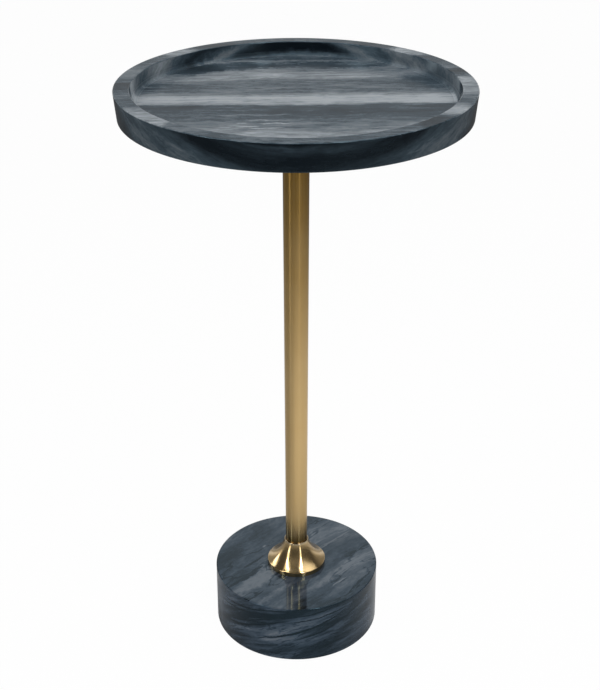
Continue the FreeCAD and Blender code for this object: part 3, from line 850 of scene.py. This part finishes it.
class WINETABLE_OT_post(bpy.types.Operator):
    """Turn the tapered brass post"""
    bl_idname = "wine_table.post"
    bl_label = "Post"

    def execute(self, context):
        settings = context.scene.wine_table
        looks = settings.post
        foot, top = POST_LOW.z, POST_HIGH.z
        ease = looks.edge_round
        profile = eased_profile([
            (looks.foot_radius - looks.wall, foot, ease), (looks.foot_radius, foot, ease),
            (looks.top_radius, top, ease), (looks.top_radius - looks.wall, top, ease),
        ], closed=True, steps=3)
        profile = supported(profile, closed=True, gap=TUBE_SUPPORT)
        piece = turned_piece("post_brass", profile, settings.segments, closed=True)
        dress(piece, "post_tube", satin_brass(looks))
        return {"FINISHED"}


# Points along each face of the collar's flare.
FLARE_POINTS = 27
# Roundings of the collar's sheet edges, as shares of its wall.
LIP_ROUND = 0.45
INNER_FOOT_ROUND = 0.3
OUTER_FOOT_ROUND = 0.4


def collar_profile(looks):
    """The collar's sheet: an upright skirt, a hollow flare and a lip cut square to the sheet.

    The flare is an arc of its own radius through the skirt's upper edge and the lip. Its centre lies square
    off the middle of the chord between them, by the root of the radius squared less the half chord squared.
    The inner face is an arc round the same centre, one wall further out, down to the skirt's inner face.
    """
    foot, top = COLLAR_LOW.z, COLLAR_HIGH.z
    edge = foot + looks.skirt
    reach = looks.foot_radius - looks.lip_radius
    drop = top - edge
    chord = math.hypot(reach, drop)
    off = math.sqrt(looks.flare ** 2 - chord ** 2 / 4.0) / chord
    middle = np.array([(looks.lip_radius + looks.foot_radius) / 2.0, (top + edge) / 2.0])
    centre = middle + off * np.array([drop, reach])
    inner_foot = looks.foot_radius - looks.wall
    inner_flare = looks.flare + looks.wall
    edge_angle = math.asin((centre[1] - edge) / looks.flare)
    lip_angle = math.asin((centre[1] - top) / looks.flare)
    foot_angle = math.acos((centre[0] - inner_foot) / inner_flare)

    def arc(radius, start, end):
        """Sharp corners along an arc round the centre, at angles below it on the post's side."""
        angle = math.pi + np.linspace(start, end, FLARE_POINTS)
        return np.column_stack([centre[0] + radius * np.cos(angle), centre[1] + radius * np.sin(angle),
                                np.zeros(FLARE_POINTS)])

    outer = arc(looks.flare, edge_angle, lip_angle)
    inner = arc(inner_flare, lip_angle, foot_angle)
    outer[0, 2] = looks.edge_round
    outer[-1, 2] = looks.wall * LIP_ROUND
    inner[0, 2] = looks.wall * LIP_ROUND
    skirt_foot = [(inner_foot, foot, looks.wall * INNER_FOOT_ROUND),
                  (looks.foot_radius, foot, looks.wall * OUTER_FOOT_ROUND)]
    return eased_profile(np.concatenate([skirt_foot, outer, inner]), closed=True)


class WINETABLE_OT_collar(bpy.types.Operator):
    """Turn the flared brass collar"""
    bl_idname = "wine_table.collar"
    bl_label = "Collar"

    def execute(self, context):
        settings = context.scene.wine_table
        looks = settings.collar
        piece = turned_piece("collar_brass", collar_profile(looks), settings.segments, closed=True)
        dress(piece, "flare_collar", polished_brass(looks))
        return {"FINISHED"}


class WINETABLE_OT_fittings(bpy.types.Operator):
    """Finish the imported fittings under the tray, in the post and under the base"""
    bl_idname = "wine_table.fittings"
    bl_label = "Fittings"

    def execute(self, context):
        looks = context.scene.wine_table.fittings
        zinc = plated("zinc_steel", tuple(looks.zinc), low=0.26, high=0.40)
        finishes = {
            "top_plate": coated("black_steel", tuple(looks.coat), rough=0.48,
                                relief_scale=1500.0, relief_depth=0.00004),
            "top_inserts": plated("insert_brass", tuple(looks.insert), low=0.22, high=0.34),
            "post_seat": coated("nylon", tuple(looks.nylon), rough=0.45,
                                relief_scale=1200.0, relief_depth=0.00001),
            "base_pads": coated("pad_rubber", tuple(looks.rubber), rough=0.82,
                                relief_scale=1800.0, relief_depth=0.00003),
        }
        zinc_nodes = ("top_plate_screws", "plate_stud", "upper_plug", "lower_plug",
                      "base_bolt", "base_washer", "base_spring_washer")
        finishes.update({node: zinc for node in zinc_nodes})
        for node, material in finishes.items():
            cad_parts[node].material_slots[0].material = material
        return {"FINISHED"}


# Lamps round the table: name, turn from the front to the right and rise in degrees, distance, width and
# height in metres, brightness, and the place over the floor that they face.
LAMPS = [
    ("strip_left", -115.0, 28.0, 1.9, 0.30, 1.1, 5.0, (0.0, 0.0)),
    ("strip_front_left", -57.0, 50.0, 1.9, 0.18, 1.4, 15.0, (0.0, 0.0)),
    ("strip_front_right", 30.0, 50.0, 1.9, 0.20, 1.4, 15.0, (0.15, -0.15)),
    ("low_front_left", -56.0, 11.0, 2.2, 0.50, 0.85, 4.0, (0.0, 0.0)),
    ("low_front_right", 30.0, 11.0, 2.2, 0.24, 0.85, 4.0, (0.0, 0.0)),
    ("box_right", 70.0, 60.0, 1.8, 1.50, 1.20, 1.9, (0.20, -0.15)),
    ("box_back", 155.0, 62.0, 1.8, 0.80, 0.80, 1.5, (0.0, 0.0)),
    ("panel_back", 180.0, 36.5, 6.0, 2.20, 1.70, 0.70, (0.0, 0.0)),
    ("fill_front", -13.0, 48.0, 2.4, 1.90, 1.30, 0.18, (0.0, 0.0)),
]
# Height that those lamps turn about and face.
LAMP_AIM = 0.08
OVERHEAD_HEIGHT = 2.0
OVERHEAD_SIZE = 1.2
FLOOR_SIDES = 96
# The floor's glow in metal: where it is dark and where full, from -1 on the left to 1 on the right, its
# share at the table's foot, and the distances where that share ends, where the glow is full and where it has
# gone.
FLOOR_DARK = -0.95
FLOOR_PALE = -0.1
GLOW_DIM = 0.3
GLOW_FOOT = 0.10
GLOW_NEAR = 0.36
GLOW_FAR = 1.1
# Where the room's tones change, by the rise of the direction from the horizon at 0 to overhead at 1, and by
# its turn from the side at 0 to straight behind the table at 1.
HORIZON_FADE = (-0.005, 0.03)
LOW_WALL_FADE = (0.08, 0.26)
CEILING_FADE = (0.55, 0.75)
BEHIND_FADE = (0.1, 0.6)
SENSOR_WIDTH = 36.0
CAMERA_PITCH = math.radians(27.012)
CAMERA_YAW = math.radians(0.175)
CAMERA_ROLL = math.radians(0.027)


def soft_lamp(name, place, aim, width, height, brightness, spread):
    """A soft lamp facing aim, with a grid that keeps its light within the spread.

    Its power is brightness times pi times its area, times 1 - h / tan(h) for the half spread h, which is the
    share of light that such a grid lets through.
    """
    half = spread / 2.0
    lamp = bpy.data.lights.new(name, "AREA")
    lamp.shape = "RECTANGLE"
    lamp.size = width
    lamp.size_y = height
    lamp.spread = spread
    lamp.energy = brightness * math.pi * width * height * (1.0 - half / math.tan(half))
    holder = bpy.data.objects.new(name, lamp)
    holder.location = place
    holder.rotation_euler = (aim - place).to_track_quat("-Z", "Y").to_euler()
    holder.visible_camera = False
    bpy.context.scene.collection.objects.link(holder)


def hang_lamps(studio):
    """Lamps round the table, each at its distance in a direction of its turn and rise, and one overhead."""
    for name, turn, rise, distance, width, height, brightness, spot in LAMPS:
        turn, rise = math.radians(turn), math.radians(rise)
        way = Vector((math.sin(turn) * math.cos(rise), -math.cos(turn) * math.cos(rise), math.sin(rise)))
        place = Vector((0.0, 0.0, LAMP_AIM)) + way * distance
        aim = Vector((*spot, LAMP_AIM))
        soft_lamp(name, place, aim, width, height, studio.strips * brightness, studio.spread)
    soft_lamp("overhead", Vector((0.0, 0.0, OVERHEAD_HEIGHT)), Vector((0.0, 0.0, 0.0)),
              OVERHEAD_SIZE, OVERHEAD_SIZE, studio.overhead, studio.spread)


def pale_floor(studio):
    """A matt pale floor, white to the camera but for a part of its shadows, and clear from below.

    Metal sees a part of it as a glow that is dark on the left and fades near the table and away from it.
    """
    paint = bpy.data.materials.new("pale_floor")
    paint.use_nodes = True
    nodes = Nodes(paint.node_tree)
    ray = nodes.add("ShaderNodeLightPath").outputs
    place = nodes.add("ShaderNodeTexCoord").outputs["Object"]
    far = nodes.vector("LENGTH", place)
    side = nodes.span(nodes.along(nodes.vector("NORMALIZE", place), RIGHT), FLOOR_DARK, FLOOR_PALE)
    glow = nodes.math("MULTIPLY", nodes.span(far, GLOW_FOOT, GLOW_NEAR, GLOW_DIM, 1.0),
                      nodes.span(far, GLOW_NEAR, GLOW_FAR, side, 0.0))
    matt = nodes.add("ShaderNodeBsdfDiffuse")
    matt.inputs["Color"].default_value = (*studio.floor_paint, 1.0)
    white = nodes.add("ShaderNodeEmission")
    nodes.feed(white.inputs["Strength"], nodes.math("MAXIMUM", glow, ray["Is Camera Ray"]))
    metal = nodes.math("MAXIMUM", ray["Is Glossy Ray"], ray["Is Transmission Ray"])
    seen = nodes.math("MULTIPLY", ray["Is Camera Ray"], studio.floor_white)
    plain = nodes.math("MULTIPLY_ADD", metal, studio.floor_gloss, seen)
    laid = nodes.blend(plain, matt.outputs[0], white.outputs[0])
    underside = nodes.add("ShaderNodeNewGeometry").outputs["Backfacing"]
    below = nodes.math("MULTIPLY", underside, ray["Is Camera Ray"])
    clear = nodes.add("ShaderNodeBsdfTransparent").outputs[0]
    nodes.feed(nodes.add("ShaderNodeOutputMaterial").inputs["Surface"], nodes.blend(below, laid, clear))
    return paint


def lay_floor(scene, studio):
    """A round flat floor: points evenly round a circle of the floor's radius."""
    angle = np.arange(FLOOR_SIDES) * (2.0 * np.pi / FLOOR_SIDES)
    edge = np.stack([np.cos(angle), np.sin(angle), np.zeros(FLOOR_SIDES)], axis=-1) * studio.floor_radius
    mesh = bpy.data.meshes.new("floor")
    mesh.from_pydata(edge.tolist(), [], [list(range(FLOOR_SIDES))])
    floor = bpy.data.objects.new("floor", mesh)
    floor.data.materials.append(pale_floor(studio))
    scene.collection.objects.link(floor)


def room_light(studio):
    """A room that is pale at the horizon and below, grey above it, and white to the camera.

    Behind the table it is palest just above the horizon, and darkens towards the ceiling.
    """
    world = bpy.data.worlds.new("studio_room")
    world.use_nodes = True
    nodes = Nodes(world.node_tree)
    way = nodes.add("ShaderNodeTexCoord").outputs["Generated"]
    rise = nodes.along(way, UP)
    wall = nodes.span(rise, *LOW_WALL_FADE, studio.low_wall, studio.backdrop, smooth=True)
    upper = nodes.span(rise, *CEILING_FADE, wall, studio.ceiling, smooth=True)
    behind = nodes.span(nodes.along(way, BACK), *BEHIND_FADE, studio.ceiling, upper, smooth=True)
    lit = nodes.span(rise, *HORIZON_FADE, studio.horizon, behind, smooth=True)
    camera_ray = nodes.add("ShaderNodeLightPath").outputs["Is Camera Ray"]
    light = nodes.add("ShaderNodeBackground")
    light.inputs["Color"].default_value = (1.0, 1.0, 1.0, 1.0)
    nodes.feed(light.inputs["Strength"], nodes.mix(camera_ray, lit, 1.0))
    nodes.feed(nodes.add("ShaderNodeOutputWorld").inputs["Surface"], light.outputs[0])
    return world


def place_camera(scene, studio):
    """The photo's camera: in front of the post, pitched down, and a little turned and rolled."""
    lens = bpy.data.cameras.new("camera")
    lens.lens = studio.lens
    lens.sensor_width = SENSOR_WIDTH
    camera = bpy.data.objects.new("camera", lens)
    level = math.cos(CAMERA_PITCH)
    ahead = Vector((math.sin(CAMERA_YAW) * level, math.cos(CAMERA_YAW) * level, -math.sin(CAMERA_PITCH)))
    right = ahead.cross(Vector(UP)).normalized()
    up = right.cross(ahead)
    rolled_right = math.cos(CAMERA_ROLL) * right + math.sin(CAMERA_ROLL) * up
    rolled_up = math.cos(CAMERA_ROLL) * up - math.sin(CAMERA_ROLL) * right
    turn = Matrix((rolled_right, rolled_up, -ahead)).transposed().to_4x4()
    camera.matrix_world = Matrix.Translation((0.0, -studio.camera_back, studio.camera_height)) @ turn
    scene.collection.objects.link(camera)
    scene.camera = camera


class WINETABLE_OT_studio(bpy.types.Operator):
    """Lay the pale floor and set up the lamps and the camera"""
    bl_idname = "wine_table.studio"
    bl_label = "Studio"

    def execute(self, context):
        scene = context.scene
        studio = scene.wine_table.studio
        scene.view_settings.view_transform = "Standard"
        scene.world = room_light(studio)
        lay_floor(scene, studio)
        hang_lamps(studio)
        place_camera(scene, studio)
        return {"FINISHED"}


class WINETABLE_PT_sidebar(bpy.types.Panel):
    """Lists the sizes, colours and steps of the wine table"""
    bl_idname = "WINETABLE_PT_sidebar"
    bl_label = "Wine table"
    bl_space_type = "VIEW_3D"
    bl_region_type = "UI"
    bl_category = "Wine table"

    def draw(self, context):
        settings = context.scene.wine_table
        self.layout.prop(settings, "segments")
        for operator, group in STEPS:
            box = self.layout.box()
            box.operator(operator.bl_idname)
            for key in getattr(settings, group).bl_rna.properties.keys():
                if key not in ("rna_type", "name"):
                    box.prop(getattr(settings, group), key)


STEPS = [
    (WINETABLE_OT_tray, "tray"),
    (WINETABLE_OT_base, "base"),
    (WINETABLE_OT_post, "post"),
    (WINETABLE_OT_collar, "collar"),
    (WINETABLE_OT_fittings, "fittings"),
    (WINETABLE_OT_studio, "studio"),
]
GROUPS = [TrayLooks, BaseLooks, PostLooks, CollarLooks, FittingLooks, StudioSettings, WineTableSettings]
CLASSES = GROUPS + [operator for operator, group in STEPS] + [WINETABLE_PT_sidebar]


def register():
    """Makes the settings, steps and panel known."""
    for entry in CLASSES:
        bpy.utils.register_class(entry)
    bpy.types.Scene.wine_table = PointerProperty(type=WineTableSettings)


def unregister():
    """Takes the settings, steps and panel away again."""
    del bpy.types.Scene.wine_table
    for entry in reversed(CLASSES):
        bpy.utils.unregister_class(entry)


def main():
    """Builds the table and its studio."""
    register()
    bpy.ops.wine_table.studio()
    bpy.ops.wine_table.tray()
    bpy.ops.wine_table.base()
    bpy.ops.wine_table.post()
    bpy.ops.wine_table.collar()
    bpy.ops.wine_table.fittings()


if __name__ == "__main__":
    main()
